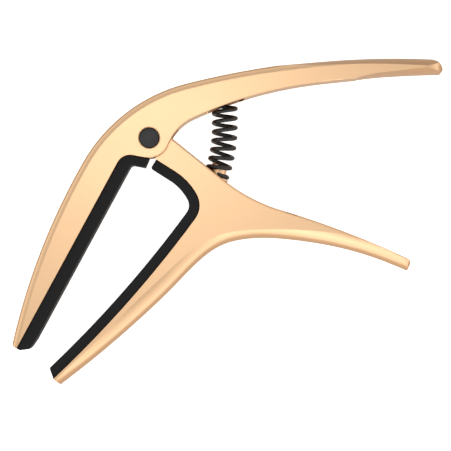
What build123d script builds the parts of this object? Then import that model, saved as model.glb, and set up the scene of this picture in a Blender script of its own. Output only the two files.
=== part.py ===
"""Trigger guitar capo: two cast arms on one pivot, a coil spring between the handles, two rubber pads.

It lies on its side. The pivot axis is Z, X runs towards the handles, Y from the lower arm to the
upper one, and the upper arm's side face rests on Z = 0. Lengths are millimetres, angles degrees.
A heading is the direction of travel in the XY plane, counted from +X towards +Y.
"""

import os
from math import cos, degrees, hypot, radians, sin

from build123d import *

os.makedirs("parts", exist_ok=True)

# Widths along the pivot axis
arm_thickness = 15.0
cheek_thickness = 2.3
washer_thickness = 0.25
side_play = 0.05

# Pivot
lobe_radius = 5.6  # rounded end of the upper arm's two cheeks
knuckle_radius = 5.0  # lower arm's tongue between the cheeks
relief_radius = 3.9  # tongue where the upper arm's stop reaches in
stop_angle = 100.0  # where tongue and stop meet with the jaws closed
stop_gap = 0.4  # degrees between the stop faces
slot_floor_angle = 235.0  # where the slot opens behind the short pad leg
moving_gap = 0.3  # between the tongue and the slot that it turns in
open_angle = 26.0
shank_radius = 2.0
shank_clearance = 0.04
head_radius = 2.9
head_thickness = 1.3
head_round = 0.5
head_clearance = 0.1
counterbore_depth = 1.4
counterbore_chamfer = 0.2
screw_radius = 1.25
screw_length = 8.0
thread_clearance = 0.02
screw_tip_gap = 1.0
socket_across_flats = 2.0
socket_depth = 0.8
washer_radius = 3.75

# Upper arm
shoulder_centre = (21.7, -29.7)
shoulder_radius = 46.35
shoulder_jaw_side = 150.2  # the shoulder arc's two ends, about its centre
shoulder_handle_side = 104.3
handle_reach = 79.0
handle_height = 22.5
nose_dip = 6.0  # angle of the corner where the handle's end begins
nose_bend = (4.6, 64.0)  # radius and angle of the handle's end
chin = (0.9, 1.45)  # from the handle's tip, back and down to the underside's end
upper_end_round = 5.5
cheek_straight = 1.5
cheek_blend = (13.5, 40.0)  # radius and angle of each bend from the cheek to the underside
cheek_link = (115.0, 18.0)
cheek_edge_angle = -25.0  # where the straight leaves the lobe
back_round = 1.8
underside_round = 0.25
# Crown of the handle: share of its length, lift off the blank, and fall to the sides
top_crown = [
    (0.34, 0.35, 0.25), (0.44, 0.1, 0.7), (0.54, -0.02, 1.2), (0.66, -0.04, 1.6),
    (0.78, -0.05, 1.8), (0.9, -0.06, 2.1), (1.0, -0.06, 2.2),
]
under_crown = [
    (0.33, 0.2, 0.4), (0.46, 0.0, 0.95), (0.58, -0.05, 1.15),
    (0.67, -0.05, 1.3), (0.8, -0.05, 1.7), (1.0, -0.05, 1.4),
]
crease_overlap = 0.02  # how far an arch's springing lies outside the side face
end_overrun = 6.0
arch_margin = 1.0
same_place = 0.05  # how near two points are taken as one

# Upper jaw and its pad
jaw_heading = -118.5
jaw_length = 69.7
seat_offset = 4.53
jaw_tip_thickness = 1.7
jaw_tip_bevel = 0.7
short_leg_heading = -10.6
seat_corner_radius = 4.0
string_pad_thickness = 3.6
short_leg_thickness = 2.8
short_leg_end = (0.9, 0.25)  # how far its end passes the lobe's lowest point, outside and inside
string_pad_toe = [(1.1, 0.0), (3.3, 1.6)]  # points of the blunt end: height off the metal, setback
string_toe_setback = 4.4
inner_corner_radius = 1.2
string_pad_setback = 0.8  # from the upper arm's side faces
key_width = 3.2
key_depth = 1.2
key_clearance = 0.05
key_start = 18.0
key_end_margin = 11.0  # from the key to the jaw's tip

# Lower arm
top_edge_heading = -38.8
top_edge_straight = 23.5
top_sweep_radius = 48.3
top_sweep_angle = 22.2
top_round = 0.5
lower_reach = (74.0, -34.5)
lower_end_heading = -24.5
lower_end_thickness = 3.2
lower_corner_round = 1.3
lower_end_round = 3.0
elbow_centre = (29.5, -50.5)
elbow_radius = 22.25
elbow_jaw_side = 136.5
elbow_handle_side = 90.7
back_spare = 0.8  # stock that the rounded back is cut from
root_angle = -71.9  # where the tongue meets the neck pad's seat
# Rounding of the back: share of each stretch's length, and fall to the sides
handle_rounding = [(1.0, 3.1), (0.77, 3.85), (0.53, 3.9), (0.28, 3.1)]
elbow_rounding = [(0.0, 2.5), (0.5, 3.0), (1.0, 3.8)]
jaw_rounding = [(0.2, 4.5), (0.4, 4.6), (0.6, 3.7), (0.8, 3.0), (1.0, 2.0)]

# Lower jaw and its pad
seat_start_radius = 6.3
seat_heading = -32.5
seat_straight = 6.45
seat_sweep = (17.3, 29.6)  # radius and angle of each bend of the seat
seat_hook = (6.4, 64.2)
grip_radius = 330.0
lower_jaw_shortfall = 9.4  # how much shorter the grip is than the upper jaw
lower_tip_thickness = 2.6
lower_tip_lead = -0.3  # how far the metal's back passes its seat's end
lower_tip_round = 1.1
neck_pad_thickness = 3.03
neck_pad_setback = 0.4  # from the lower arm's side faces
neck_pad_corner = 0.7
neck_pad_rake = 1.1  # how much sooner the pad's free side ends at the jaw's tip
neck_key_shares = (0.08, 0.4, 0.72)  # start, middle and end of the key along the grip

# Spring and its seats
wire_diameter = 1.2
spring_diameter = 7.45
coil_pitch = 2.69
points_per_turn = 8
flat_turn = 0.25  # share of a turn that lies flat at each end
spring_x = 21.2
spring_bend_start = 3.3  # Y where the spring starts to bow
spring_bend_radius = 40.9
spring_lean = 20.0
pocket_floor = 13.3
pocket_length = 11.0
pocket_wall = 1.1  # metal left on each side of the pocket
pocket_corner = 1.5
well_clearance = 0.25
boss_radius = 2.3
boss_height = 3.6
boss_chamfer = 0.4
seat_radius = 3.6
seat_depth = 2.6

# Sizes that follow
middle = arm_thickness / 2
slot_width = arm_thickness - 2 * cheek_thickness
lower_width = slot_width - 2 * (washer_thickness + side_play)
front_floor = arm_thickness - counterbore_depth
grip_length = jaw_length - lower_jaw_shortfall
grip_angle = degrees(grip_length / grip_radius)
pocket_width = arm_thickness - 2 * pocket_wall
well_radius = spring_diameter / 2 + well_clearance
opened_heading = top_edge_heading + open_angle
slot_radius = knuckle_radius + moving_gap
counterbore_radius = head_radius + head_clearance
past_lobe = 2 * lobe_radius  # far enough out to be clear of the metal
slot_run = 3 * lobe_radius
groove_width = key_width + 2 * key_clearance
groove_depth = key_depth + key_clearance
key_end = jaw_length - key_end_margin
bend_centre = Vector(spring_x - spring_bend_radius, spring_bend_start)


def heading(angle):
    """Unit vector along a heading."""
    return Vector(cos(radians(angle)), sin(radians(angle)))


def polar(radius, angle):
    """Point at a radius and angle about the pivot."""
    return heading(angle) * radius


def on_jaw(along, inward):
    """Point this far along the upper jaw from the pivot, and this far towards the neck."""
    return heading(jaw_heading) * along + heading(jaw_heading + 90) * inward


def rear_of(width):
    """Plane at the rear of a band of this width, centred between the side faces."""
    return Plane.XY.offset(middle - width / 2)


def pad_corner(long_offset, short_offset):
    """Where a line along the upper jaw meets one along the short leg, each this far from the pivot."""
    rise = short_leg_heading + 90
    along = cos(radians(jaw_heading - rise))
    inward = cos(radians(jaw_heading + 90 - rise))
    return on_jaw((long_offset * inward - short_offset) / along, -long_offset)


def neck_seat(depth, rake=0):
    """Draw the neck pad's seat, this far off the metal and shorter by rake, and return its edges."""
    start = polar(seat_start_radius, root_angle) + heading(seat_heading - 90) * depth
    entry = Line(start, start + heading(seat_heading) * seat_straight)
    sweep = JernArc(entry @ 1, entry % 1, seat_sweep[0] - depth, -seat_sweep[1])
    hook = JernArc(sweep @ 1, sweep % 1, seat_hook[0] - depth, -seat_hook[1])
    grip = JernArc(hook @ 1, hook % 1, grip_radius - depth, degrees(rake / grip_radius) - grip_angle)
    return entry, sweep, hook, grip


def lower_back(grip, spare):
    """Draw the lower arm's back, moved outwards by spare: its handle, elbow and jaw, to the grip's end."""
    angle = elbow_jaw_side - elbow_handle_side
    elbow = CenterArc(elbow_centre, elbow_radius - spare, elbow_handle_side, angle)
    end = Vector(*lower_reach) + heading(lower_end_heading - 90) * (lower_end_thickness + spare)
    handle = TangentArc(elbow @ 0, end, tangent=(elbow % 0) * -1)
    outward = (grip % 1).rotate(Axis.Z, 90)
    tip = grip @ 1 + (grip % 1) * lower_tip_lead + outward * (lower_tip_thickness + spare)
    jaw = TangentArc(elbow @ 1, tip, tangent=elbow % 1)
    return handle, elbow, jaw


def jaw_groove(clearance):
    """Draw the string pad's key, larger by the clearance at its ends and floor."""
    start, end = key_start - clearance, key_end + clearance
    top, floor = -seat_offset, -seat_offset - key_depth - clearance
    Polyline(on_jaw(start, top), on_jaw(start, floor), on_jaw(end, floor), on_jaw(end, top), close=True)


def neck_key(depth, margin):
    """Draw the neck pad's key: from its seat down to this depth, longer by the margin at each end."""
    start, centre, end = neck_key_shares
    spare = margin / grip_length
    shares = (start - spare, centre, end + spare)
    with BuildLine(mode=Mode.PRIVATE):
        top = neck_seat(0)[3]
        floor = neck_seat(depth)[3]
    upper = ThreePointArc(*[top @ share for share in shares])
    lower = ThreePointArc(*[floor @ share for share in shares])
    Line(upper @ 0, lower @ 0)
    Line(upper @ 1, lower @ 1)


def edges_over(edges, points):
    """The edges whose middles lie over or under one of the points."""
    found = []
    for edge in edges:
        gaps = [edge @ 0.5 - point for point in points]
        if min(hypot(gap.X, gap.Y) for gap in gaps) < same_place:
            found.append(edge)
    return found


def middles(*curves):
    """Middle points of the drawn curves."""
    return [curve @ 0.5 for curve in curves]


def cut_arch(stations, half_span):
    """Cut the part to an arch through stations.

    A station is a point, a direction of travel with the outside on its left, and the arch's fall.
    """
    sections = []
    for point, travel, fall in stations:
        origin = Vector(point.X, point.Y, middle)
        with BuildSketch(Plane(origin=origin, x_dir=(0, 0, 1), z_dir=travel * -1)) as section:
            with BuildLine():
                arch = ThreePointArc((-half_span, -fall), (0, 0), (half_span, -fall))
                far = half_span + arch_margin
                high = 4 * arch_margin
                Polyline(arch @ 1, (far, -fall), (far, high), (-far, high), (-far, -fall), arch @ 0)
            make_face()
        sections.append(section.sketch)
    loft(sections, mode=Mode.SUBTRACT)


def crown_stations(curve, side, crown):
    """Stations along an edge of the handle, outside on its left (1) or right (-1), and one past its end."""
    stations = []
    for share, lift, fall in crown:
        travel = (curve % share) * side
        stations.append((curve @ share + travel.rotate(Axis.Z, 90) * lift, travel, fall))
    point, travel, fall = stations[-1]
    stations.append((point + travel * side * end_overrun, travel, fall))
    return stations


def round_end(tip, travel, half_width, corner):
    """Round an arm's end, seen from above the handle."""
    plane = Plane(origin=(tip.X, tip.Y, middle), x_dir=travel, z_dir=travel.rotate(Axis.Z, 90))
    with BuildSketch(plane) as beyond:
        Rectangle(2 * corner, 4 * half_width)
        with Locations((-2 * corner, 0)):
            RectangleRounded(4 * corner, 2 * half_width, corner, mode=Mode.SUBTRACT)
    extrude(beyond.sketch, amount=3 * corner, both=True, mode=Mode.SUBTRACT)


def ring(bottom):
    """Washer about the pivot axis, from this height up."""
    with BuildSketch(Plane.XY.offset(bottom)) as annulus:
        Circle(washer_radius)
        Circle(shank_radius + 2 * shank_clearance, mode=Mode.SUBTRACT)
    extrude(annulus.sketch, amount=washer_thickness)


# Upper arm
with BuildPart() as upper_arm:
    with BuildSketch():
        with BuildLine():
            turn = shoulder_jaw_side - shoulder_handle_side
            shoulder = CenterArc(shoulder_centre, shoulder_radius, shoulder_handle_side, turn)
            jaw_tip = on_jaw(jaw_length - jaw_tip_bevel, -seat_offset - jaw_tip_thickness)
            jaw_back = TangentArc(shoulder @ 1, jaw_tip, tangent=shoulder % 1)
            handle_end = Vector(handle_reach, handle_height)
            handle_top = TangentArc(shoulder @ 0, handle_end, tangent=(shoulder % 0) * -1)
            nose_start = (handle_top % 1).rotate(Axis.Z, -nose_dip)
            nose = JernArc(handle_top @ 1, nose_start, nose_bend[0], -nose_bend[1])
            under_end = nose @ 1 - Vector(*chin)
            Line(nose @ 1, under_end)
            lobe_turn = cheek_edge_angle + 90 - short_leg_heading
            lobe = CenterArc((0, 0), lobe_radius, short_leg_heading - 90, lobe_turn)
            cheek = Line(lobe @ 1, lobe @ 1 + (lobe % 1) * cheek_straight)
            blend = JernArc(cheek @ 1, cheek % 1, cheek_blend[0], -cheek_blend[1])
            link = JernArc(blend @ 1, blend % 1, cheek_link[0], -cheek_link[1])
            underside = TangentArc(link @ 1, under_end, tangent=link % 1)
            bevel = on_jaw(jaw_length, jaw_tip_bevel - seat_offset - jaw_tip_thickness)
            Polyline(lobe @ 0, on_jaw(jaw_length, 0), bevel, jaw_tip)
        make_face()
    extrude(amount=arm_thickness)
    side_edges = upper_arm.faces().filter_by(Axis.Z).edges()
    fillet(edges_over(side_edges, middles(jaw_back, shoulder, handle_top)), back_round)
    side_edges = upper_arm.faces().filter_by(Axis.Z).edges()
    fillet(edges_over(side_edges, middles(underside, link, blend, cheek, lobe)), underside_round)
    cut_arch(crown_stations(handle_top, 1, top_crown), middle + crease_overlap)
    cut_arch(crown_stations(underside, -1, under_crown), middle + crease_overlap)
    tip_x = upper_arm.part.bounding_box().max.X
    round_end(Vector(tip_x, handle_end.Y), Vector(1, 0), middle, upper_end_round)
    # Seat of the string pad, and the groove for its key
    with BuildSketch():
        with BuildLine():
            short_end = polar(lobe_radius, short_leg_heading - 90)
            corner = pad_corner(seat_offset, lobe_radius)
            past_tip = on_jaw(jaw_length + 1, -seat_offset)
            FilletPolyline(short_end, corner, past_tip, radius=seat_corner_radius)
            Polyline(past_tip, on_jaw(jaw_length + 1, past_lobe), on_jaw(past_lobe, past_lobe), short_end)
        make_face()
    extrude(amount=arm_thickness, mode=Mode.SUBTRACT)
    with BuildSketch(rear_of(groove_width)):
        with BuildLine():
            jaw_groove(key_clearance)
        make_face()
    extrude(amount=groove_width, mode=Mode.SUBTRACT)
    # Slot for the tongue, with the stop at its upper end and room for the lower arm to swing
    with BuildSketch(rear_of(slot_width)):
        with BuildLine():
            stop_end = stop_angle - stop_gap
            bar_turn = stop_end - opened_heading - 90
            bar = CenterArc((0, 0), relief_radius + moving_gap, opened_heading + 90, bar_turn)
            ceiling = Line(bar @ 0, bar @ 0 + heading(opened_heading) * slot_run)
            wall = CenterArc((0, 0), slot_radius, stop_end, slot_floor_angle - stop_end)
            Line(bar @ 1, wall @ 0)
            behind = polar(past_lobe, slot_floor_angle)
            Polyline(wall @ 1, behind, (behind.X, -slot_run), ((ceiling @ 1).X, -slot_run), ceiling @ 1)
        make_face()
    extrude(amount=slot_width, mode=Mode.SUBTRACT)
    # Bore and counterbores for the barrel's head and the screw's head
    with BuildSketch():
        Circle(shank_radius + shank_clearance / 2)
    extrude(amount=arm_thickness, mode=Mode.SUBTRACT)
    with BuildSketch(Plane.XY, Plane.XY.offset(front_floor)):
        Circle(counterbore_radius)
    extrude(amount=counterbore_depth, mode=Mode.SUBTRACT)
    rims = upper_arm.faces().filter_by(Axis.Z).edges().filter_by(GeomType.CIRCLE)
    rims = [e for e in rims if abs(e.radius - counterbore_radius) < same_place]
    chamfer([e for e in rims if abs((e @ 0).Z - middle) > middle - same_place], counterbore_chamfer)
    # Pocket for the top of the spring
    pocket_plane = Plane(origin=(spring_x, pocket_floor, middle), x_dir=(1, 0, 0), z_dir=(0, -1, 0))
    with BuildSketch(pocket_plane):
        RectangleRounded(pocket_length, pocket_width, pocket_corner)
    extrude(amount=pocket_floor, mode=Mode.SUBTRACT)
upper_arm.part.label = "upper_arm"
export_step(upper_arm.part, "parts/upper_arm.step")

# Lower arm
with BuildPart() as lower_arm:
    with BuildLine(mode=Mode.PRIVATE):
        grip = neck_seat(0)[3]
        back_handle, back_elbow, back_jaw = lower_back(grip, 0)
    with BuildSketch(rear_of(lower_width)):
        with BuildLine():
            seat = neck_seat(0)
            handle, elbow, jaw = lower_back(grip, back_spare)
            Line(seat[3] @ 1, jaw @ 1)
            foot = polar(relief_radius, top_edge_heading + 90)
            top_edge = Line(foot, foot + heading(top_edge_heading) * top_edge_straight)
            top_sweep = JernArc(top_edge @ 1, top_edge % 1, top_sweep_radius, top_sweep_angle)
            handle_edge = TangentArc(top_sweep @ 1, lower_reach, tangent=top_sweep % 1)
            Line(handle_edge @ 1, handle @ 1)
            relief_turn = stop_angle - top_edge_heading - 90
            relief = CenterArc((0, 0), relief_radius, top_edge_heading + 90, relief_turn)
            knuckle = CenterArc((0, 0), knuckle_radius, stop_angle, 360 + root_angle - stop_angle)
            Line(relief @ 1, knuckle @ 0)
            Line(knuckle @ 1, seat[0] @ 0)
        make_face()
    extrude(amount=lower_width)
    side_edges = lower_arm.faces().filter_by(Axis.Z).edges()
    fillet(edges_over(side_edges, middles(top_sweep, handle_edge)), top_round)
    end_corners = lower_arm.edges().filter_by(Axis.Z).sort_by(Axis.X)[-2:]
    fillet(end_corners, lower_corner_round)
    fillet(edges_over(lower_arm.edges().filter_by(Axis.Z), [jaw @ 1]), lower_tip_round)
    # Seat for the bottom of the spring: a round land, a well cut down to it, and the spring's post
    lean = heading(90 - spring_lean)
    seat_centre = bend_centre + heading(-spring_lean) * spring_bend_radius
    land = Plane(origin=(seat_centre.X, seat_centre.Y, middle), x_dir=(0, 0, 1), z_dir=lean)
    with BuildSketch(land):
        Circle(seat_radius)
    extrude(amount=-seat_depth)
    with BuildSketch(land):
        Circle(well_radius)
    extrude(amount=2 * boss_height, mode=Mode.SUBTRACT)
    with BuildSketch(land):
        Circle(boss_radius)
    extrude(amount=boss_height)
    rims = lower_arm.edges().filter_by(GeomType.CIRCLE)
    rims = [e for e in rims if abs(e.radius - boss_radius) < same_place]
    chamfer([e for e in rims if (e @ 0 - seat_centre).dot(lean) > boss_height / 2], boss_chamfer)
    # Rounded back, from the handle's end round the elbow to the jaw's tip
    stations = [(back_handle @ u, (back_handle % u) * -1, fall) for u, fall in handle_rounding]
    stations += [(back_elbow @ u, back_elbow % u, fall) for u, fall in elbow_rounding]
    stations += [(back_jaw @ u, back_jaw % u, fall) for u, fall in jaw_rounding]
    first, last = stations[0], stations[-1]
    stations.insert(0, (first[0] - first[1] * end_overrun, first[1], first[2]))
    stations.append((last[0] + last[1] * end_overrun, last[1], last[2]))
    cut_arch(stations, lower_width / 2 + crease_overlap)
    round_end(Vector(*lower_reach), heading(lower_end_heading), lower_width / 2, lower_end_round)
    # Pivot bore, and the groove for the neck pad's key
    with BuildSketch():
        Circle(shank_radius + shank_clearance)
    extrude(amount=arm_thickness, mode=Mode.SUBTRACT)
    with BuildSketch(rear_of(groove_width)):
        with BuildLine():
            neck_key(-groove_depth, key_clearance)
        make_face()
    extrude(amount=groove_width, mode=Mode.SUBTRACT)
lower_arm.part.label = "lower_arm"
export_step(lower_arm.part, "parts/lower_arm.step")

# String pad: an L of rubber along the upper jaw and under the lobe, keyed into the metal
string_pad_width = arm_thickness - 2 * string_pad_setback
with BuildPart() as string_pad:
    with BuildSketch(rear_of(string_pad_width)):
        with BuildLine():
            leg = heading(short_leg_heading)
            down = heading(short_leg_heading - 90)
            inner_radius = lobe_radius + short_leg_thickness
            end_outside = down * lobe_radius + leg * short_leg_end[0]
            end_inside = down * inner_radius + leg * short_leg_end[1]
            toe = on_jaw(jaw_length, -seat_offset)
            corner = pad_corner(seat_offset, lobe_radius)
            FilletPolyline(end_outside, corner, toe, radius=seat_corner_radius)
            free_face = seat_offset - string_pad_thickness
            blunt = [on_jaw(jaw_length - back, high - seat_offset) for high, back in string_pad_toe]
            heel = on_jaw(jaw_length - string_toe_setback, -free_face)
            Polyline(toe, *blunt, heel)
            corner = pad_corner(free_face, inner_radius)
            FilletPolyline(heel, corner, end_inside, radius=inner_corner_radius)
            Line(end_inside, end_outside)
        make_face()
    extrude(amount=string_pad_width)
    with BuildSketch(rear_of(key_width)):
        with BuildLine():
            jaw_groove(0)
        make_face()
    extrude(amount=key_width)
string_pad.part.label = "string_pad"
export_step(string_pad.part, "parts/string_pad.step")

# Neck pad: a curved strip of rubber on the lower jaw
neck_pad_width = lower_width - 2 * neck_pad_setback
with BuildPart() as neck_pad:
    with BuildSketch(rear_of(neck_pad_width)):
        with BuildLine():
            metal_side = neck_seat(0)
            free_side = neck_seat(neck_pad_thickness, neck_pad_rake)
            Line(metal_side[0] @ 0, free_side[0] @ 0)
            Line(metal_side[3] @ 1, free_side[3] @ 1)
        make_face()
    extrude(amount=neck_pad_width)
    free_corners = [free_side[0] @ 0, free_side[3] @ 1]
    fillet(edges_over(neck_pad.edges().filter_by(Axis.Z), free_corners), neck_pad_corner)
    with BuildSketch(rear_of(key_width)):
        with BuildLine():
            neck_key(-key_depth, 0)
        make_face()
    extrude(amount=key_width)
neck_pad.part.label = "neck_pad"
export_step(neck_pad.part, "parts/neck_pad.step")

# Pivot: a barrel with a domed head, from the front, and a screw that closes it from behind
with BuildPart() as pivot_barrel:
    shank_end = counterbore_depth + side_play
    with BuildSketch(Plane.XY.offset(shank_end)):
        Circle(shank_radius)
    extrude(amount=front_floor - shank_end)
    with BuildSketch(Plane.XY.offset(front_floor)):
        Circle(head_radius)
    extrude(amount=head_thickness)
    fillet(pivot_barrel.edges().group_by(Axis.Z)[-1], head_round)
    with BuildSketch(Plane.XY.offset(shank_end)):
        Circle(screw_radius + thread_clearance)
    extrude(amount=screw_length + screw_tip_gap, mode=Mode.SUBTRACT)
pivot_barrel.part.label = "pivot_barrel"
export_step(pivot_barrel.part, "parts/pivot_barrel.step")

with BuildPart() as pivot_screw:
    with BuildSketch(Plane.XY.offset(counterbore_depth - head_thickness)):
        Circle(head_radius)
    extrude(amount=head_thickness)
    with BuildSketch(Plane.XY.offset(counterbore_depth)):
        Circle(screw_radius)
    extrude(amount=screw_length)
    with BuildSketch(Plane.XY.offset(counterbore_depth - head_thickness)):
        RegularPolygon(socket_across_flats / 2, 6, major_radius=False)
    extrude(amount=socket_depth, mode=Mode.SUBTRACT)
pivot_screw.part.label = "pivot_screw"
export_step(pivot_screw.part, "parts/pivot_screw.step")

# Washers between the tongue and each cheek
with BuildPart() as rear_washer:
    ring(cheek_thickness)
rear_washer.part.label = "rear_washer"
export_step(rear_washer.part, "parts/rear_washer.step")

with BuildPart() as front_washer:
    ring(arm_thickness - cheek_thickness - washer_thickness)
front_washer.part.label = "front_washer"
export_step(front_washer.part, "parts/front_washer.step")

# Spring: its line leans over the post, bends upright and runs into the upper arm's pocket
bend_length = spring_bend_radius * radians(spring_lean)
spring_length = bend_length + pocket_floor - spring_bend_start
coil_rise = spring_length - wire_diameter
turns = coil_rise / coil_pitch + 2 * flat_turn
coil_points = []
for step in range(round(turns * points_per_turn) + 1):
    turn = step / points_per_turn
    climb = min(max(turn - flat_turn, 0), turns - 2 * flat_turn) * coil_pitch
    along = wire_diameter / 2 + min(climb, coil_rise)
    lean_left = degrees(max(bend_length - along, 0) / spring_bend_radius)
    side = heading(-lean_left)
    axis_point = bend_centre + side * spring_bend_radius + Vector(0, max(along - bend_length, 0))
    swing = radians(360 * (turn - flat_turn))
    coil_radius = (spring_diameter - wire_diameter) / 2
    point = axis_point + side * coil_radius * cos(swing)
    coil_points.append(Vector(point.X, point.Y, middle - coil_radius * sin(swing)))
with BuildPart() as spring:
    with BuildLine():
        coil = Spline(coil_points)
    with BuildSketch(Plane(origin=coil @ 0, z_dir=coil % 0)):
        Circle(wire_diameter / 2)
    sweep(path=coil)
spring.part.label = "spring"
export_step(spring.part, "parts/spring.step")
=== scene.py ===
"""Guitar capo, laid on its side: cast arms, rubber pads, pivot and spring around the frame."""

import bpy
import numpy as np
from bpy.props import FloatProperty, FloatVectorProperty, PointerProperty
from bpy.types import Operator, Panel, PropertyGroup
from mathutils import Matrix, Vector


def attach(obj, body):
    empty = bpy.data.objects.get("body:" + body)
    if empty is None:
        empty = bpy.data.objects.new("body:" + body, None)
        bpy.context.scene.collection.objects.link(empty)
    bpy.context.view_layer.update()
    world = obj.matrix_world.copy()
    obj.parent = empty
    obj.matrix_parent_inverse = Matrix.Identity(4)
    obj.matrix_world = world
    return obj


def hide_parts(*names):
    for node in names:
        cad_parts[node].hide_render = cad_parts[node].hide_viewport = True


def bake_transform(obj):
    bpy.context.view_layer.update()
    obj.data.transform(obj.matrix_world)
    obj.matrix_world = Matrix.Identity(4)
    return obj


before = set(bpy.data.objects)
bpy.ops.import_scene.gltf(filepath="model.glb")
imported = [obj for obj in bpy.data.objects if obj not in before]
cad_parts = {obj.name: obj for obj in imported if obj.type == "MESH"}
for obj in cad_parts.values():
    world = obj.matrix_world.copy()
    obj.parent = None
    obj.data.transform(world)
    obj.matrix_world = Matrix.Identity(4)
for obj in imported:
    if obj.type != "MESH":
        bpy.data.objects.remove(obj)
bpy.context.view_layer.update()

bl_info = {
    "name": "Guitar capo",
    "version": (1, 0, 0),
    "blender": (4, 5, 0),
    "location": "3D View > Sidebar > Capo",
    "description": "Builds a trigger guitar capo's pads, pivot and spring, and gives each part its finish",
    "category": "Object",
}

MM = 0.001
UPPER, LOWER = "upper_lever", "lower_lever"
MIDDLE_Z = 7.5  # half the thickness of the arms

# Places in millimetres and headings in degrees; a heading is a travel direction counted from +X
JAW_HEADING = -118.5
JAW_LENGTH = 69.7
JAW_SEAT = 4.53  # the string pad's metal lies this far outside the line from the pivot
SHORT_LEG_HEADING = -10.6
LOBE_RADIUS = 5.6
NECK_SEAT_START = (6.3, -71.9)  # radius and angle about the pivot
NECK_SEAT_HEADING = -32.5
# Runs of the neck pad's seat: radius of the bend (0 for straight), then its length or angle
NECK_SEAT_RUNS = ((0.0, 6.45), (17.3, 29.6), (6.4, 64.2), (330.0, 10.47))
SPRING_X = 21.2
SPRING_BEND_START = 3.3  # below this Y the spring's line bows
SPRING_BEND_RADIUS = 40.9
SPRING_LEAN = 20.0  # of the spring's line at the lower arm's post
SPRING_TOP = 13.3  # Y of the pocket's floor


def heading(angle):
    """Unit vectors (cos a, sin a) for headings in degrees."""
    a = np.radians(angle)
    return np.stack([np.cos(a), np.sin(a)], axis=-1)


def on_jaw(along, inward):
    """Point along the upper jaw's line from the pivot, moved towards the neck."""
    return heading(JAW_HEADING) * along + heading(JAW_HEADING + 90) * inward


# ---------------------------------------------------------------- shapes


def new_piece(name, vertices, faces, sharp_angle=35.0):
    """Mesh object at the origin from vertices in millimetres, smooth except over sharp_angle."""
    mesh = bpy.data.meshes.new(name)
    mesh.from_pydata((np.asarray(vertices, float) * MM).tolist(), [], faces)
    mesh.polygons.foreach_set("use_smooth", np.ones(len(mesh.polygons), bool))
    mesh.set_sharp_from_angle(angle=np.radians(sharp_angle))
    mesh.validate()
    piece = bpy.data.objects.new(name, mesh)
    bpy.context.scene.collection.objects.link(piece)
    return piece


def skin(rows, capped=(True, True)):
    """Faces between closed rows, and over the first and last row where capped.

    Each quad is (i, j), (i, j+1), (i+1, j+1), (i+1, j), with j taken round the row.
    """
    count, around = rows.shape[:2]
    i, j = np.meshgrid(np.arange(count - 1), np.arange(around), indexing="ij")
    k = (j + 1) % around
    quads = np.stack([i * around + j, i * around + k, (i + 1) * around + k, (i + 1) * around + j], axis=-1)
    faces = quads.reshape(-1, 4).tolist()
    if capped[0]:
        faces.append(np.arange(around)[::-1].tolist())
    if capped[1]:
        faces.append(((count - 1) * around + np.arange(around)).tolist())
    return rows.reshape(-1, 3), faces


def chain(start, angle, runs, step=0.6):
    """Tangent line of straight runs and right-hand bends.

    A straight adds s * (cos a, sin a); a bend of radius r turning by t adds
    r * (sin a - sin(a - t), cos(a - t) - cos a). Returns points, headings and distances.
    """
    points, angles, distances = [np.array([start])], [np.array([angle])], [np.array([0.0])]
    for radius, amount in runs:
        length = amount if radius == 0 else radius * np.radians(amount)
        s = np.linspace(0, length, max(3, int(length / step)) + 1)[1:]
        origin, a = points[-1][-1], angles[-1][-1]
        if radius == 0:
            points.append(origin + s[:, None] * heading(a))
            angles.append(np.full(len(s), a))
        else:
            turned = a - np.degrees(s / radius)
            centre = origin + radius * heading(a - 90)
            points.append(centre + radius * heading(turned + 90))
            angles.append(turned)
        distances.append(distances[-1][-1] + s)
    return np.concatenate(points), np.concatenate(angles), np.concatenate(distances)


def bent_leg(start, corner, end, radius, counts):
    """Line from start to end by way of a rounded corner, as straight, arc and straight samples.

    With turn the angle of the arc and first and last its ends seen from its centre, an arc point is
    centre + (sin((1 - u) turn) * first + sin(u turn) * last) / sin(turn), for u from 0 to 1.
    """
    start, corner, end = (np.asarray(p, float) for p in (start, corner, end))
    a = (start - corner) / np.linalg.norm(start - corner)
    b = (end - corner) / np.linalg.norm(end - corner)
    half = np.arccos(a @ b) / 2
    reach = radius / np.tan(half)
    centre = corner + (a + b) / np.linalg.norm(a + b) * radius / np.sin(half)
    first, last = corner + a * reach - centre, corner + b * reach - centre
    u = np.linspace(0, 1, counts[1])[:, None]
    turn = np.pi - 2 * half
    arc = centre + (np.sin((1 - u) * turn) * first + np.sin(u * turn) * last) / np.sin(turn)
    head = start + np.linspace(0, 1, counts[0])[:-1, None] * (arc[0] - start)
    tail = end + np.linspace(1, 0, counts[2])[1:, None] * (arc[-1] - end)
    return np.concatenate([head, arc, tail])


def pad_section(edge, hold, steps=5):
    """Rounded rectangle, as the share of the thickness, its offset, the side and its offset.

    Each corner is offset = edge * (1 - cos p, 1 - sin p) with p from 0 to 90 degrees, and a point at
    distance edge + hold along each flat keeps the flats flat.
    """
    p = np.linspace(0, np.pi / 2, steps)
    along, across = edge * (1 - np.cos(p)), edge * (1 - np.sin(p))
    along = np.concatenate([along, [edge + hold]])
    across = np.concatenate([across, [0.0]])
    along, across = np.concatenate([[0.0], along]), np.concatenate([[edge + hold], across])
    # corners in turn: metal and low side, free and low, free and high, metal and high
    thick_share = np.repeat([0.0, 1.0, 1.0, 0.0], len(along))
    side = np.repeat([-1.0, -1.0, 1.0, 1.0], len(along))
    thick_offset = np.concatenate([along, -along[::-1], -along, along[::-1]])
    side_offset = np.concatenate([across, across[::-1], -across, -across[::-1]])
    return thick_share, thick_offset, side, side_offset


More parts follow.
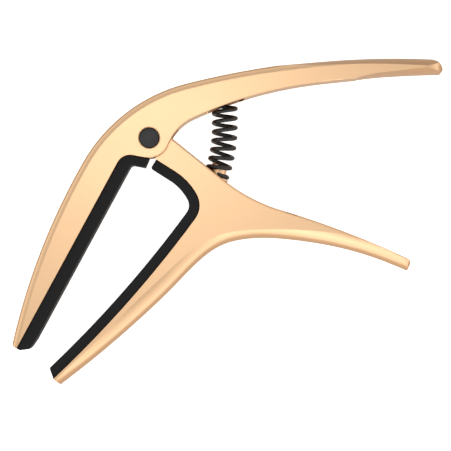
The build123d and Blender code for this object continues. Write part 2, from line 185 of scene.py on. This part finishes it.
def pad_piece(name, metal, free, half_width, edge, hold=0.12):
    """Rubber strip between a line on the metal and its free line.

    A point is metal + (free - metal) / t * d and z = middle + side * half width, where d runs from 0 to
    the thickness t round a section with rounded edges.
    """
    share, offset, side, side_offset = pad_section(edge, hold)
    across = free - metal
    thickness = np.linalg.norm(across, axis=1, keepdims=True)
    depth = share[None, :] * thickness + offset[None, :]
    flat = metal[:, None, :] + (across / thickness)[:, None, :] * depth[..., None]
    z = MIDDLE_Z + side * half_width + side_offset
    rows = np.concatenate([flat, np.broadcast_to(z[None, :, None], (*flat.shape[:2], 1))], axis=2)
    return new_piece(name, *skin(rows))


def turned_piece(name, profile, around=96, shape=None):
    """Solid of revolution about the pivot, from a profile of radius r and height z.

    A point is (r cos t, r sin t, z). Where shape is given, the profile's third column says whether r is
    scaled by shape(t).
    """
    profile = np.asarray(profile, float)
    t = np.linspace(0, 2 * np.pi, around, endpoint=False)
    radius = np.repeat(profile[:, :1], around, axis=1)
    if shape is not None:
        radius = radius * (1 + profile[:, 2:3] * (shape(t)[None, :] - 1))
    height = np.repeat(profile[:, 1:2], around, axis=1)
    rows = np.stack([radius * np.cos(t), radius * np.sin(t), height], axis=-1)
    return new_piece(name, *skin(rows), sharp_angle=30.0)


def tube_piece(name, line, radius, sides=18, end_share=0.86):
    """Wire round a line: point + radius * (n cos t + b sin t), with n and b square to the line.

    The wire's ends are cut off square, and end_share is the radius of their broken edge.
    """
    tangent = np.gradient(line, axis=0)
    tangent /= np.linalg.norm(tangent, axis=1, keepdims=True)
    n = np.cross(tangent, [0.0, 1.0, 0.0])
    n /= np.linalg.norm(n, axis=1, keepdims=True)
    b = np.cross(tangent, n)
    scale = np.ones(len(line))
    scale[[0, -1]] = end_share
    t = np.linspace(0, 2 * np.pi, sides, endpoint=False)
    ring = n[:, None, :] * np.cos(t)[None, :, None] + b[:, None, :] * np.sin(t)[None, :, None]
    rows = line[:, None, :] + ring * (radius * scale)[:, None, None]
    return new_piece(name, *skin(rows), sharp_angle=50.0)


# ---------------------------------------------------------------- finishes


def node_group(name, inputs, outputs):
    """Empty shader group with the named sockets, given as (name, socket type, default)."""
    group = bpy.data.node_groups.new(name, "ShaderNodeTree")
    for label, kind, default in inputs:
        socket = group.interface.new_socket(label, in_out="INPUT", socket_type=kind)
        socket.default_value = default
    for label, kind in outputs:
        group.interface.new_socket(label, in_out="OUTPUT", socket_type=kind)
    return group, group.nodes.new("NodeGroupInput"), group.nodes.new("NodeGroupOutput")


def blasted_grain():
    """Group: fine grain of a blasted or moulded skin, as a height, and slow drift of tone and gloss."""
    group, given, out = node_group(
        "Blasted grain",
        [
            ("Colour", "NodeSocketColor", (0.8, 0.8, 0.8, 1.0)),
            ("Grain per mm", "NodeSocketFloat", 3.0),
            ("Drift per mm", "NodeSocketFloat", 0.05),
            ("Tone drift", "NodeSocketFloat", 0.05),
            ("Roughness", "NodeSocketFloat", 0.4),
            ("Gloss drift", "NodeSocketFloat", 0.05),
        ],
        [("Colour", "NodeSocketColor"), ("Roughness", "NodeSocketFloat"), ("Height", "NodeSocketFloat")],
    )
    nodes, links = group.nodes, group.links
    place = nodes.new("ShaderNodeTexCoord")
    in_mm = nodes.new("ShaderNodeVectorMath")
    in_mm.operation = "SCALE"
    in_mm.inputs["Scale"].default_value = 1 / MM
    links.new(place.outputs["Object"], in_mm.inputs[0])

    def noise(scale_socket, detail):
        texture = nodes.new("ShaderNodeTexNoise")
        texture.inputs["Detail"].default_value = detail
        links.new(in_mm.outputs[0], texture.inputs["Vector"])
        links.new(given.outputs[scale_socket], texture.inputs["Scale"])
        return texture.outputs["Fac"]

    def around_one(fac, amount_socket):
        """1 + (fac - 0.5) * 2 * amount."""
        centred = nodes.new("ShaderNodeMath")
        centred.operation = "MULTIPLY_ADD"
        centred.inputs[1].default_value = 2.0
        centred.inputs[2].default_value = -1.0
        links.new(fac, centred.inputs[0])
        scaled = nodes.new("ShaderNodeMath")
        scaled.operation = "MULTIPLY_ADD"
        scaled.inputs[2].default_value = 1.0
        links.new(centred.outputs[0], scaled.inputs[0])
        links.new(given.outputs[amount_socket], scaled.inputs[1])
        return scaled.outputs[0]

    grain = noise("Grain per mm", 4.0)
    drift = noise("Drift per mm", 2.0)
    tone = nodes.new("ShaderNodeVectorMath")
    tone.operation = "SCALE"
    links.new(given.outputs["Colour"], tone.inputs[0])
    links.new(around_one(drift, "Tone drift"), tone.inputs["Scale"])
    gloss = nodes.new("ShaderNodeMath")
    gloss.operation = "MULTIPLY"
    links.new(given.outputs["Roughness"], gloss.inputs[0])
    links.new(around_one(drift, "Gloss drift"), gloss.inputs[1])
    links.new(tone.outputs[0], out.inputs["Colour"])
    links.new(gloss.outputs[0], out.inputs["Roughness"])
    links.new(grain, out.inputs["Height"])
    return group


def grained_material(name, colour, roughness, grain, bump_mm, **sockets):
    """Principled material whose colour, roughness and bump come from the shared grain group."""
    material = bpy.data.materials.new(name)
    material.use_nodes = True
    nodes, links = material.node_tree.nodes, material.node_tree.links
    shader = nodes["Principled BSDF"]
    skin_group = nodes.new("ShaderNodeGroup")
    skin_group.node_tree = bpy.data.node_groups.get("Blasted grain") or blasted_grain()
    skin_group.inputs["Colour"].default_value = (*colour, 1.0)
    skin_group.inputs["Roughness"].default_value = roughness
    for label, value in grain.items():
        skin_group.inputs[label].default_value = value
    bump = nodes.new("ShaderNodeBump")
    bump.inputs["Strength"].default_value = 1.0
    bump.inputs["Distance"].default_value = bump_mm * MM
    links.new(skin_group.outputs["Colour"], shader.inputs["Base Color"])
    links.new(skin_group.outputs["Roughness"], shader.inputs["Roughness"])
    links.new(skin_group.outputs["Height"], bump.inputs["Height"])
    links.new(bump.outputs["Normal"], shader.inputs["Normal"])
    for label, value in sockets.items():
        shader.inputs[label.replace("_", " ")].default_value = value
    return material


def wear(piece, material):
    """Give a piece its material."""
    piece.data.materials.clear()
    piece.data.materials.append(material)


# ---------------------------------------------------------------- settings


class CapoSizes(PropertyGroup):
    pad_edge: FloatProperty(
        name="Pad edge radius", description="Rounding along the long edges of both rubber pads",
        default=0.35 * MM, min=0.1 * MM, max=1.0 * MM, unit="LENGTH", precision=5,
    )
    string_pad_thickness: FloatProperty(
        name="String pad thickness", description="Rubber between the strings and the upper jaw",
        default=3.6 * MM, min=1 * MM, max=5 * MM, unit="LENGTH", precision=5,
    )
    neck_pad_thickness: FloatProperty(
        name="Neck pad thickness", description="Rubber between the neck and the lower jaw",
        default=3.03 * MM, min=1 * MM, max=5 * MM, unit="LENGTH", precision=5,
    )
    wire_diameter: FloatProperty(
        name="Spring wire", description="Diameter of the spring's wire",
        default=1.2 * MM, min=0.4 * MM, max=2 * MM, unit="LENGTH", precision=5,
    )
    spring_diameter: FloatProperty(
        name="Spring diameter", description="Outside diameter of the spring",
        default=7.45 * MM, min=4 * MM, max=8 * MM, unit="LENGTH", precision=5,
    )
    coil_pitch: FloatProperty(
        name="Coil pitch", description="Distance from one open coil to the next along the spring",
        default=2.69 * MM, min=1.5 * MM, max=5 * MM, unit="LENGTH", precision=5,
    )


class CapoFinishes(PropertyGroup):
    casting_colour: FloatVectorProperty(
        name="Casting", description="Satin champagne plating of both cast arms",
        default=(0.80, 0.52, 0.30), size=3, subtype="COLOR", min=0, max=1,
    )
    casting_roughness: FloatProperty(
        name="Casting roughness", description="How satin the plating is",
        default=0.3, min=0.1, max=0.8, subtype="FACTOR",
    )
    rubber_colour: FloatVectorProperty(
        name="Rubber", description="Moulded rubber of both pads",
        default=(0.004, 0.004, 0.0045), size=3, subtype="COLOR", min=0, max=1,
    )
    steel_colour: FloatVectorProperty(
        name="Blackened steel", description="Pivot barrel and screw; the spring's wire is darker still",
        default=(0.035, 0.034, 0.036), size=3, subtype="COLOR", min=0, max=1,
    )
    washer_colour: FloatVectorProperty(
        name="Washers", description="Slippery plastic of the two thin washers",
        default=(0.62, 0.60, 0.56), size=3, subtype="COLOR", min=0, max=1,
    )


# ---------------------------------------------------------------- operators


class CAPO_OT_cast_arms(Operator):
    """Give both cast arms their satin champagne plating"""

    bl_idname = "capo.cast_arms"
    bl_label = "Cast arms"

    def execute(self, context):
        finish = context.scene.capo_finishes
        plating = grained_material(
            "Satin champagne plating", finish.casting_colour, roughness=finish.casting_roughness,
            grain={"Grain per mm": 2.6, "Drift per mm": 0.04, "Tone drift": 0.03, "Gloss drift": 0.08},
            bump_mm=0.012, Metallic=1.0,
        )
        for name in ("upper_arm", "lower_arm"):
            wear(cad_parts[name], plating)
        return {"FINISHED"}


class CAPO_OT_string_pad(Operator):
    """Build the L-shaped rubber pad that presses the strings"""

    bl_idname = "capo.string_pad"
    bl_label = "String pad"

    half_width = 6.7
    toe_length = 4.4  # how far from its end the pad starts to slope away
    toe_heights = ((2.8, 0.917), (4.4, 0.306))  # distance along the toe, share of the thickness
    short_leg_thickness = 2.8
    short_leg_end = (0.9, 0.25)  # how far its end passes the lobe's lowest point, on metal and free side
    corner_radii = (4.0, 1.2)  # of the L, on metal and free side
    samples = (8, 10, 60)  # along the short leg, round the corner, and along the jaw

    def execute(self, context):
        sizes, finish = context.scene.capo_sizes, context.scene.capo_finishes
        thickness = sizes.string_pad_thickness / MM
        leg, down = heading(SHORT_LEG_HEADING), heading(SHORT_LEG_HEADING - 90)
        free_line = JAW_SEAT - thickness
        heel = JAW_LENGTH - self.toe_length

        def corner(long_offset, short_offset):
            """Where a line along the jaw meets one along the short leg."""
            normals = np.stack([heading(JAW_HEADING + 90), down])
            return np.linalg.solve(normals, [-long_offset, short_offset])

        metal = bent_leg(
            down * LOBE_RADIUS + leg * self.short_leg_end[0], corner(JAW_SEAT, LOBE_RADIUS),
            on_jaw(heel, -JAW_SEAT), self.corner_radii[0], self.samples,
        )
        inside = LOBE_RADIUS + self.short_leg_thickness
        free = bent_leg(
            down * inside + leg * self.short_leg_end[1], corner(free_line, inside),
            on_jaw(heel, -free_line), self.corner_radii[1], self.samples,
        )
        toe = np.array(self.toe_heights)
        toe_metal = on_jaw((heel + toe[:, 0])[:, None], -JAW_SEAT)
        toe_free = toe_metal + heading(JAW_HEADING + 90) * (toe[:, 1:] * thickness)
        metal, free = np.concatenate([metal, toe_metal]), np.concatenate([free, toe_free])
        pad = pad_piece("string_pad_rubber", metal, free, self.half_width, sizes.pad_edge / MM)
        wear(pad, rubber(finish))
        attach(pad, UPPER)
        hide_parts("string_pad")
        return {"FINISHED"}


def rubber(finish):
    """Matt moulded rubber, shared by both pads."""
    return bpy.data.materials.get("Moulded rubber") or grained_material(
        "Moulded rubber", finish.rubber_colour, roughness=0.62,
        grain={"Grain per mm": 4.0, "Drift per mm": 0.4, "Tone drift": 0.35, "Gloss drift": 0.12},
        bump_mm=0.03, Specular_IOR_Level=0.25,
    )


class CAPO_OT_neck_pad(Operator):
    """Build the curved rubber pad that grips the back of the neck"""

    bl_idname = "capo.neck_pad"
    bl_label = "Neck pad"

    half_width = 4.5
    end_corner = 0.7
    rake = 1.1  # how much sooner the pad's free side ends at the jaw's tip

    def execute(self, context):
        sizes, finish = context.scene.capo_sizes, context.scene.capo_finishes
        thickness = sizes.neck_pad_thickness / MM
        radius, angle = NECK_SEAT_START
        points, angles, s = chain(radius * heading(angle), NECK_SEAT_HEADING, NECK_SEAT_RUNS)
        grip_radius, grip_turn = NECK_SEAT_RUNS[-1]
        # rounded free corners: t = thickness - c + sqrt(c^2 - (c - distance to the end)^2)
        c = self.end_corner
        extra = c * (1 - np.cos(np.linspace(0, np.pi / 2, 6)[1:]))
        wanted = np.union1d(s, np.concatenate([extra, s[-1] - extra]))
        near = np.minimum(np.minimum(wanted, s[-1] - wanted), c)
        depth = thickness - c + np.sqrt(np.maximum(c**2 - (c - near) ** 2, 0))
        # the free side falls behind the metal side along the grip: d' = d - rake * share of the grip
        grip = np.radians(grip_turn) * grip_radius
        behind = wanted - self.rake * np.clip((wanted - s[-1] + grip) / grip, 0, 1)

        def line(distances, off):
            """Points of the seat at these distances, moved off the metal."""
            along = np.stack([np.interp(distances, s, points[:, k]) for k in (0, 1)], axis=1)
            return along + heading(np.interp(distances, s, angles) - 90) * np.reshape(off, (-1, 1))

        metal, free = line(wanted, 0), line(behind, depth)
        pad = pad_piece("neck_pad_rubber", metal, free, self.half_width, sizes.pad_edge / MM)
        wear(pad, rubber(finish))
        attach(pad, LOWER)
        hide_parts("neck_pad")
        return {"FINISHED"}


def blackened(finish):
    """Blackened steel of the pivot's two parts."""
    return bpy.data.materials.get("Blackened steel") or grained_material(
        "Blackened steel", finish.steel_colour, roughness=0.38,
        grain={"Grain per mm": 3.0, "Drift per mm": 0.5, "Tone drift": 0.25, "Gloss drift": 0.15},
        bump_mm=0.006, Metallic=0.55,
    )


def black_wire(finish):
    """Black spring wire, darker and smoother than the pivot."""
    darker = 0.4
    return grained_material(
        "Black spring wire", [darker * c for c in finish.steel_colour], roughness=0.34,
        grain={"Grain per mm": 2.0, "Drift per mm": 0.5, "Tone drift": 0.2, "Gloss drift": 0.15},
        bump_mm=0.004, Metallic=0.2,
    )


class CAPO_OT_pivot(Operator):
    """Build the pivot's barrel with its domed head and the hexagon socket screw behind"""

    bl_idname = "capo.pivot"
    bl_label = "Pivot"

    head_radius = 2.9  # of the barrel's head and of the screw's
    broken_edge = 0.02
    # Barrel, by its heights: its head's top and seat, the end of its shank and of its bore
    head_top, head_seat, shank_end, bore_end = 14.9, 13.6, 1.45, 10.4
    shank_radius, bore_radius = 2.0, 1.27
    head_round, crown_drop = 0.55, 0.16
    # Screw, by its heights: its face and seat, the floor of its socket and the end of its thread
    face, screw_seat, socket_floor, thread_end = 0.1, 1.4, 0.9, 9.4
    socket_radius, thread_radius = 1.0, 1.25

    def execute(self, context):
        finish = context.scene.capo_finishes
        steel = blackened(finish)
        radius, edge = self.head_radius, self.broken_edge
        crown_radius = radius - self.head_round
        crown_low = self.head_top - self.crown_drop
        # crown: z = top - drop * (r / crown radius)^2, then a quarter circle down to the head's side
        dome = np.linspace(0.0, crown_radius, 9)
        crown = np.stack([dome, self.head_top - self.crown_drop * (dome / crown_radius) ** 2], axis=1)
        p = np.linspace(0, np.pi / 2, 7)[1:]
        round_low = crown_low - self.head_round
        quarter = np.stack([np.sin(p), np.cos(p)], axis=1)
        shoulder = np.array([crown_radius, round_low]) + self.head_round * quarter
        # a spare point holds the head's side straight under the rounding
        below = np.array([
            (radius, round_low - 0.09), (radius, self.head_seat + edge), (radius - edge, self.head_seat),
            (self.shank_radius, self.head_seat), (self.shank_radius, self.shank_end + edge / 2),
            (self.bore_radius, self.shank_end), (self.bore_radius, self.bore_end),
        ])
        profile = np.concatenate([crown[1:], shoulder, below])[::-1]
        barrel = turned_piece("pivot_barrel_steel", profile)
        wear(barrel, steel)
        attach(barrel, UPPER)
        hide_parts("pivot_barrel")

        def hexagon(t):
            """Radius of a hexagon of across-flats 2, over that of its inscribed circle."""
            return 1 / np.cos((t + np.pi / 6) % (np.pi / 3) - np.pi / 6)

        # radius, height, and 1 where the ring is the hexagon; the socket's edge and the rim are eased
        socket, face, seat, thread = self.socket_radius, self.face, self.screw_seat, self.thread_radius
        profile = [
            (socket, self.socket_floor, 1), (socket, face + 0.06, 1), (socket + 0.05, face, 1),
            (radius - 1.3, face, 0), (radius - 0.3, face, 0), (radius - 0.1, face + 0.06, 0),
            (radius, face + 0.2, 0), (radius, seat - edge, 0), (radius - edge, seat, 0),
            (thread, seat, 0), (thread, self.thread_end - 0.2, 0), (thread - 0.2, self.thread_end, 0),
        ]
        screw = turned_piece("pivot_screw_steel", profile, shape=hexagon)
        wear(screw, steel)
        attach(screw, UPPER)
        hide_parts("pivot_screw")
        return {"FINISHED"}


class CAPO_OT_washers(Operator):
    """Give the two washers beside the tongue their plastic"""

    bl_idname = "capo.washers"
    bl_label = "Washers"

    def execute(self, context):
        plastic = grained_material(
            "Washer plastic", context.scene.capo_finishes.washer_colour, roughness=0.5,
            grain={"Grain per mm": 3.0, "Drift per mm": 0.5, "Tone drift": 0.05, "Gloss drift": 0.1},
            bump_mm=0.004,
        )
        for name in ("front_washer", "rear_washer"):
            wear(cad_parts[name], plastic)
        return {"FINISHED"}


class CAPO_OT_spring(Operator):
    """Coil the spring between the lower arm's post and the upper arm's pocket"""

    bl_idname = "capo.spring"
    bl_label = "Spring"

    per_turn = 48  # points along the wire
    flat_turn = 0.25  # share of a turn that lies flat at each end

    def execute(self, context):
        sizes, finish = context.scene.capo_sizes, context.scene.capo_finishes
        wire = sizes.wire_diameter / MM
        outside = sizes.spring_diameter / MM
        pitch = sizes.coil_pitch / MM
        bend = SPRING_BEND_RADIUS * np.radians(SPRING_LEAN)
        rise = bend + SPRING_TOP - SPRING_BEND_START - wire
        turns = rise / pitch + 2 * self.flat_turn
        turn = np.linspace(0, turns, int(turns * self.per_turn) + 1)
        # climb: flat at each end, even in between, with the change eased over a third of a turn
        climb = np.clip(turn - self.flat_turn, 0, turns - 2 * self.flat_turn) * pitch
        window = np.hanning(self.per_turn // 3 + 1)
        padded = np.pad(climb, len(window) // 2, mode="edge")
        climb = np.convolve(padded, window / window.sum(), mode="valid")
        along = wire / 2 + climb
        # the spring's middle line leans over the post and bends upright into the pocket
        lean = -np.degrees(np.maximum(bend - along, 0) / SPRING_BEND_RADIUS)
        centre = np.array([SPRING_X - SPRING_BEND_RADIUS, SPRING_BEND_START])
        middle = centre + heading(lean) * SPRING_BEND_RADIUS
        middle[:, 1] += np.maximum(along - bend, 0)
        # the wire's line swings round it: middle + coil radius * (cos w to the side, -sin w across)
        swing = 2 * np.pi * (turn - self.flat_turn)
        coil = (outside - wire) / 2
        flat = middle + heading(lean) * (coil * np.cos(swing))[:, None]
        line = np.column_stack([flat, MIDDLE_Z - coil * np.sin(swing)])
        spring = tube_piece("spring_wire", line, wire / 2)
        wear(spring, black_wire(finish))
        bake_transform(spring)
        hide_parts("spring")
        return {"FINISHED"}


class CAPO_OT_stage(Operator):
    """Set the pale floor, the soft studio light and the camera straight above"""

    bl_idname = "capo.stage"
    bl_label = "Stage"

    view_centre = (21.4, -24.6)
    camera_height = 715.0
    lens = 199.5
    # Square lights aimed at the middle of the view: name, place and size in millimetres, power in watts
    softboxes = (
        ("key_light", (-25, 49, 715), 90, 0.16),
        ("front_fill", (40, -620, 430), 420, 0.4),
    )
    floor_half = 3.0  # metres
    floor_paint = 0.96
    floor_glow = 0.78
    # Height between straight down (0) and straight up (1), and the surround's tone there
    sky_tones = (
        (0.34, (0.5, 0.44, 0.39, 1)), (0.5, (1.12, 1.12, 1.12, 1)), (0.95, (0.62, 0.62, 0.62, 1)),
    )
    sky_strength = 1.25
    sky_towards_y = -0.3  # added to the strength for each unit of Y, so the near side is the brighter

    def execute(self, context):
        scene = context.scene
        scene.view_settings.view_transform = "Standard"
        self.floor()
        self.sky(scene)
        x, y = self.view_centre
        for name, place, size_mm, power in self.softboxes:
            self.softbox(name, place, (x, y, 0), size_mm, power)
        camera = bpy.data.objects.new("camera", bpy.data.cameras.new("camera"))
        scene.collection.objects.link(camera)
        camera.location = (x * MM, y * MM, self.camera_height * MM)
        camera.data.lens = self.lens
        camera.data.clip_start, camera.data.clip_end = 0.05, 20.0
        scene.camera = camera
        return {"FINISHED"}

    def floor(self):
        """Plain white floor, clear from below and to every ray that isn't the camera's own."""
        half = self.floor_half
        corners = [(-half, -half, 0), (half, -half, 0), (half, half, 0), (-half, half, 0)]
        mesh = bpy.data.meshes.new("floor")
        mesh.from_pydata(corners, [], [(0, 1, 2, 3)])
        plane = bpy.data.objects.new("floor", mesh)
        bpy.context.scene.collection.objects.link(plane)
        material = bpy.data.materials.new("Pale floor")
        material.use_nodes = True
        nodes, links = material.node_tree.nodes, material.node_tree.links
        nodes.remove(nodes["Principled BSDF"])
        paint = nodes.new("ShaderNodeBsdfDiffuse")
        paint.inputs["Color"].default_value = (*[self.floor_paint] * 3, 1)
        glow = nodes.new("ShaderNodeEmission")
        glow.inputs["Strength"].default_value = self.floor_glow
        lit = nodes.new("ShaderNodeAddShader")
        links.new(paint.outputs[0], lit.inputs[0])
        links.new(glow.outputs[0], lit.inputs[1])
        path = nodes.new("ShaderNodeLightPath")
        facing = nodes.new("ShaderNodeNewGeometry")
        shown = nodes.new("ShaderNodeMath")
        shown.operation = "SUBTRACT"
        shown.use_clamp = True
        links.new(path.outputs["Is Camera Ray"], shown.inputs[0])
        links.new(facing.outputs["Backfacing"], shown.inputs[1])
        clear = nodes.new("ShaderNodeBsdfTransparent")
        mix = nodes.new("ShaderNodeMixShader")
        links.new(shown.outputs[0], mix.inputs["Fac"])
        links.new(clear.outputs[0], mix.inputs[1])
        links.new(lit.outputs[0], mix.inputs[2])
        links.new(mix.outputs[0], nodes["Material Output"].inputs["Surface"])
        mesh.materials.append(material)

    def sky(self, scene):
        """Soft studio surround: brightest at the horizon, dimmer below it, white where seen directly.

        In direction (x, y, z) it is the tone at height z / 2 + 1/2, times strength + towards_y * y.
        """
        world = bpy.data.worlds.new("studio")
        world.use_nodes = True
        scene.world = world
        nodes, links = world.node_tree.nodes, world.node_tree.links
        back = nodes["Background"]
        place = nodes.new("ShaderNodeTexCoord")
        split = nodes.new("ShaderNodeSeparateXYZ")
        links.new(place.outputs["Generated"], split.inputs[0])
        height = nodes.new("ShaderNodeMath")
        height.operation = "MULTIPLY_ADD"
        height.inputs[1].default_value = 0.5
        height.inputs[2].default_value = 0.5
        links.new(split.outputs["Z"], height.inputs[0])
        ramp = nodes.new("ShaderNodeValToRGB")
        ends = ramp.color_ramp.elements
        ends[0].position, ends[0].color = self.sky_tones[0]
        ends[1].position, ends[1].color = self.sky_tones[-1]
        for position, tone in self.sky_tones[1:-1]:
            ends.new(position).color = tone
        links.new(height.outputs[0], ramp.inputs["Fac"])
        side = nodes.new("ShaderNodeMath")
        side.operation = "MULTIPLY_ADD"
        side.inputs[1].default_value = self.sky_towards_y
        side.inputs[2].default_value = self.sky_strength
        links.new(split.outputs["Y"], side.inputs[0])
        shaded = nodes.new("ShaderNodeVectorMath")
        shaded.operation = "SCALE"
        links.new(ramp.outputs["Color"], shaded.inputs[0])
        links.new(side.outputs[0], shaded.inputs["Scale"])
        path = nodes.new("ShaderNodeLightPath")
        tone = nodes.new("ShaderNodeMix")
        tone.data_type = "RGBA"
        tone.inputs["B"].default_value = (1.0, 1.0, 1.0, 1)
        links.new(path.outputs["Is Camera Ray"], tone.inputs["Factor"])
        links.new(shaded.outputs[0], tone.inputs["A"])
        links.new(tone.outputs["Result"], back.inputs["Color"])

    def softbox(self, name, place, target, size_mm, power):
        """Square area light aimed at a point; places in millimetres."""
        data = bpy.data.lights.new(name, "AREA")
        data.size = size_mm * MM
        data.energy = power
        light = bpy.data.objects.new(name, data)
        bpy.context.scene.collection.objects.link(light)
        place, target = np.array(place) * MM, np.array(target) * MM
        light.location = place
        light.rotation_mode = "QUATERNION"
        light.rotation_quaternion = Vector(target - place).to_track_quat("-Z", "Y")


class CAPO_PT_parts(Panel):
    """The capo's sizes, finishes and the steps that build it"""

    bl_label = "Guitar capo"
    bl_space_type = "VIEW_3D"
    bl_region_type = "UI"
    bl_category = "Capo"

    def draw(self, context):
        layout = self.layout
        for settings in (context.scene.capo_sizes, context.scene.capo_finishes):
            box = layout.box()
            for name in settings.__annotations__:
                box.prop(settings, name)
        for step in STEPS:
            layout.operator(step.bl_idname)


STEPS = (
    CAPO_OT_cast_arms,
    CAPO_OT_string_pad,
    CAPO_OT_neck_pad,
    CAPO_OT_pivot,
    CAPO_OT_washers,
    CAPO_OT_spring,
    CAPO_OT_stage,
)
CLASSES = (CapoSizes, CapoFinishes, *STEPS, CAPO_PT_parts)


def register():
    for cls in CLASSES:
        bpy.utils.register_class(cls)
    bpy.types.Scene.capo_sizes = PointerProperty(type=CapoSizes)
    bpy.types.Scene.capo_finishes = PointerProperty(type=CapoFinishes)


def unregister():
    del bpy.types.Scene.capo_finishes
    del bpy.types.Scene.capo_sizes
    for cls in reversed(CLASSES):
        bpy.utils.unregister_class(cls)


def main():
    """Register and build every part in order."""
    register()
    bpy.ops.capo.cast_arms()
    bpy.ops.capo.string_pad()
    bpy.ops.capo.neck_pad()
    bpy.ops.capo.pivot()
    bpy.ops.capo.washers()
    bpy.ops.capo.spring()
    bpy.ops.capo.stage()


if __name__ == "__main__":
    main()
